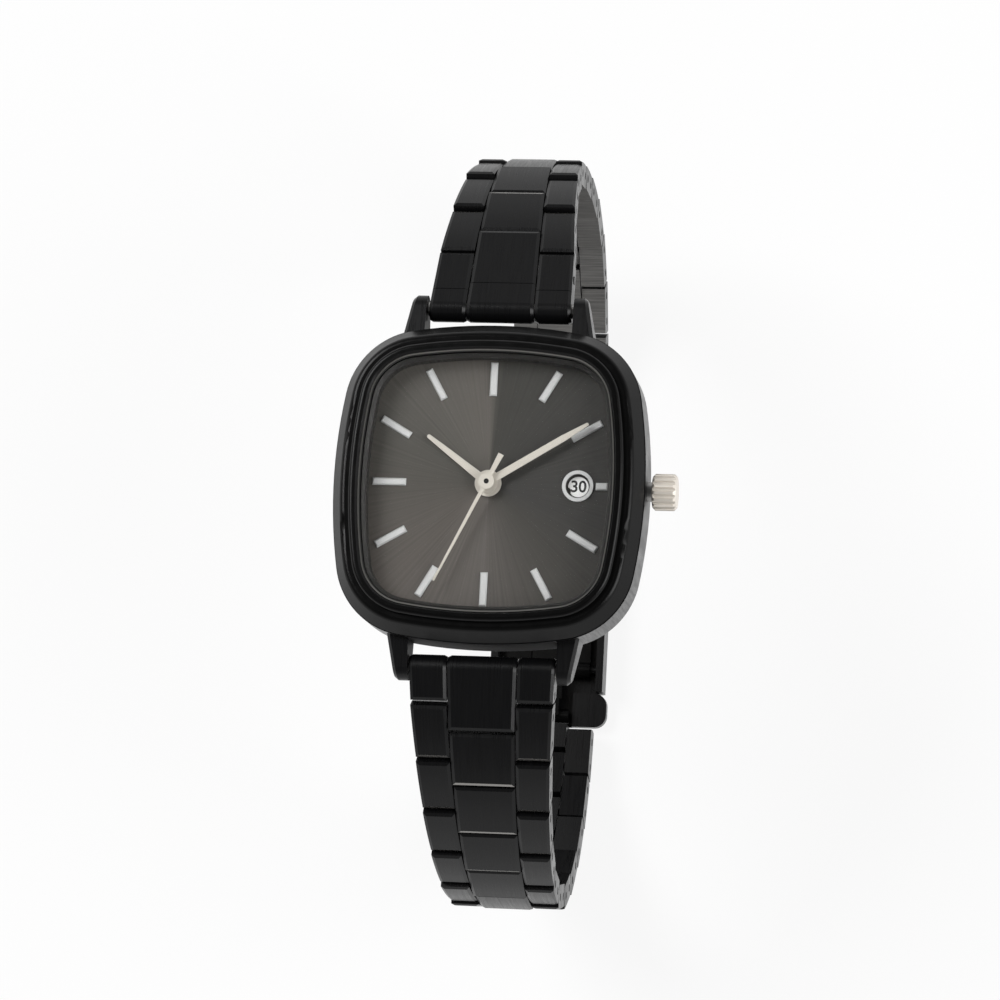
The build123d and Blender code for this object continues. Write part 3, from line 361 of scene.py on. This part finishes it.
# Where each of those finishes starts and ends
lug_gap = 14.3 * mm
flank_deep = 1.5 * mm
flange_high = 1.84 * mm
flange_inset = 3 * mm
pit_radius = 0.26 * mm
pit_low = 1.5 * mm
hoop = Vector((0, 0, dial_level / 2))
refinish("case_body", make_blasted_plating(), lambda spot, normal: abs(normal.y) > 0.7
         and abs(spot.x) < lug_gap / 2 and abs(spot.y) > case_height / 2 - flank_deep)
refinish("gaskets", make_crystal_seal(), lambda spot, normal: spot.z > dial_level)
refinish("bezel", make_flange_satin(), lambda spot, normal:
         spot.z < dial_level + flange_high and abs(spot.x) < case_width / 2 - flange_inset
         and abs(spot.y) < case_height / 2 - flange_inset and spot.x * normal.x + spot.y * normal.y < 0)
refinish("crystal", make_ground_edge(), lambda spot, normal: -0.2 < normal.z < 0.95)
# Painted sheen: the greyer colour goes only on the 12 o'clock strand's faces that look into the hoop.
painted_inner_sheen = make_inner_plating()
for name in nodes:
    if name.startswith("link_12"):
        refinish(name, painted_inner_sheen, lambda spot, normal: abs(normal.x) < 0.3
                 and normal.dot(Vector((0, hoop.y - spot.y, hoop.z - spot.z)).normalized()) > 0.75)
# Painted highlight: the lower edge bevel of every link gets the bright metal.
painted_highlight_edges = make_bevel_plating()
for name in nodes:
    if name.startswith("link_"):
        outward = max((face for face in nodes[name].data.polygons
                       if abs(face.normal.x) < 0.1
                       and face.normal.yz.dot((face.center.yz - hoop.yz).normalized()) > 0.8),
                      key=lambda face: face.area).normal.copy()
        refinish(name, painted_highlight_edges, lambda spot, normal: abs(normal.x) < 0.2
                 and 0.78 < normal.dot(outward) < 0.96 and normal.z < outward.z)
# Painted shade: the pipe's faces and the arbor top inside it get the near-black colour.
shade = make_pit_shade()
for name in ("second_hand", "seconds_wheel"):
    refinish(name, shade, lambda spot, normal:
             math.hypot(spot.x, spot.y) < pit_radius and spot.z > dial_level + pit_low)


# Date numbers: printed round the disc, 30 upright in the window and the next day after it

date_low, date_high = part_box("date_disc")
window_out = 8.55 * mm
ink_clear = 0.01 * mm
ink_spread = 0.03 * mm
number_high = 1.55 * mm
days, day_shown = 31, 30
window = Vector((window_out, 0, date_high.z + ink_clear))
printed = bmesh.new()
for day in range(1, days + 1):
    text = bpy.data.curves.new("date_text", "FONT")
    text.body, text.size = str(day), number_high
    text.align_x, text.align_y = "CENTER", "CENTER"
    text.offset = ink_spread
    carrier = bpy.data.objects.new("date_text", text)
    shape = bpy.data.meshes.new_from_object(carrier)
    turn_by = Matrix.Rotation(2 * math.pi * (day - day_shown) / days, 4, "Z")
    shape.transform(turn_by @ Matrix.Translation(window))
    printed.from_mesh(shape)
    bpy.data.objects.remove(carrier)
    bpy.data.curves.remove(text)
numbers = bpy.data.meshes.new("date_numbers")
printed.to_mesh(numbers)
printed.free()
date_numbers = bpy.data.objects.new("date_numbers", numbers)
scene.collection.objects.link(date_numbers)
# Black screen-printed ink, flat and slightly glossy.
ink, tree, shader = material("printing_ink", "#1b1b1b", Roughness=0.4)
numbers.materials.append(ink)
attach(date_numbers, "date_disc")

# Camera: the photograph looks 8.6 degrees from 3 o'clock and 9.6 degrees from 6 o'clock,
# turned 2.9 degrees, from about 400 mm
to_crown, to_six, roll = math.radians(8.61), math.radians(9.6), math.radians(2.89)
away = Vector((math.tan(to_crown), -math.tan(to_six), 1.0)).normalized()
side = Vector((0, 1, 0)).cross(away).normalized()
rise = away.cross(side)
across = side * math.cos(roll) + rise * math.sin(roll)
upward = rise * math.cos(roll) - side * math.sin(roll)
distance = 400 * mm
view_width = 1000 / 10.5 * mm
shift_across, shift_down = 1.019 * mm, 1.457 * mm
aim = Vector((0, 0, dial_level)) + across * shift_across - upward * shift_down
lens = bpy.data.cameras.new("photo_camera")
lens.sensor_width = 36.0
lens.lens = 36.0 * distance / view_width
lens.clip_start, lens.clip_end = 0.02, 20.0
camera = bpy.data.objects.new("photo_camera", lens)
scene.collection.objects.link(camera)
camera.matrix_world = Matrix((
    (across.x, upward.x, away.x, 0), (across.y, upward.y, away.y, 0),
    (across.z, upward.z, away.z, 0), (0, 0, 0, 1)))
camera.location = aim + away * distance
scene.camera = camera

# Floor, lamps and world
floor_mesh = bpy.data.meshes.new("studio_floor")
reach = 1.5
floor_mesh.from_pydata([(-reach, -reach, 0), (reach, -reach, 0), (reach, reach, 0), (-reach, reach, 0)],
                       [], [(0, 1, 2, 3)])
floor = bpy.data.objects.new("studio_floor", floor_mesh)
scene.collection.objects.link(floor)
# Pale matt sweep. The eye, metal and glass see it as a nearly even white that keeps the soft shadow.
made, tree, shader = material("pale_floor", "#f4f4f4", Roughness=0.9)
path = add(tree, "ShaderNodeLightPath")
seen = add(tree, "ShaderNodeMath", operation="MAXIMUM")
tree.links.new(path.outputs["Is Camera Ray"], seen.inputs[0])
tree.links.new(path.outputs["Is Glossy Ray"], seen.inputs[1])
any_seen = add(tree, "ShaderNodeMath", operation="MAXIMUM")
tree.links.new(seen.outputs[0], any_seen.inputs[0])
tree.links.new(path.outputs["Is Transmission Ray"], any_seen.inputs[1])
share = add(tree, "ShaderNodeMath", operation="MULTIPLY")
tree.links.new(any_seen.outputs[0], share.inputs[0])
white_share = 0.84
share.inputs[1].default_value = white_share
white = add(tree, "ShaderNodeEmission", Color=linear("#ffffff"), Strength=1.0)
mix = add(tree, "ShaderNodeMixShader",
          links=[(share.outputs[0], 0), (shader.outputs[0], 1), (white.outputs[0], 2)])
tree.links.new(mix.outputs[0], tree.nodes["Material Output"].inputs["Surface"])
floor_mesh.materials.append(made)


def softbox(name, place, target, width, height, power):
    """A soft area lamp aimed at a point."""
    lamp = bpy.data.lights.new(name, "AREA")
    lamp.shape, lamp.size, lamp.size_y, lamp.energy = "RECTANGLE", width, height, power
    made = bpy.data.objects.new(name, lamp)
    scene.collection.objects.link(made)
    made.location = place
    made.rotation_mode = "QUATERNION"
    made.rotation_quaternion = (Vector(place) - Vector(target)).to_track_quat("Z", "Y")
    return made


centre = (0, 0, 40 * mm)
softbox("left_softbox", (-0.5, 0.3, 0.74), centre, 0.42, 0.42, 4.8)
softbox("right_softbox", (0.66, -0.1, 0.52), centre, 0.5, 0.55, 4.6)

# The sky: white round the horizon, grey above it and dark overhead, by the direction's height
world = bpy.data.worlds.new("studio")
scene.world = world
world.use_nodes = True
tree = world.node_tree
toward = add(tree, "ShaderNodeTexCoord")
height = add(tree, "ShaderNodeSeparateXYZ", links=[(toward.outputs["Generated"], 0)])
sky = add(tree, "ShaderNodeValToRGB", links=[(height.outputs[2], "Fac")])
levels = ((0.2, 1.0), (0.5, 0.26), (0.8, 0.2), (0.94, 0.08))
while len(sky.color_ramp.elements) < len(levels):
    sky.color_ramp.elements.new(1.0)
for element, (place, light) in zip(sky.color_ramp.elements, levels):
    element.position, element.color = place, (light, light, light, 1.0)
tree.links.new(sky.outputs[0], tree.nodes["Background"].inputs["Color"])
scene.view_settings.view_transform = "Standard"
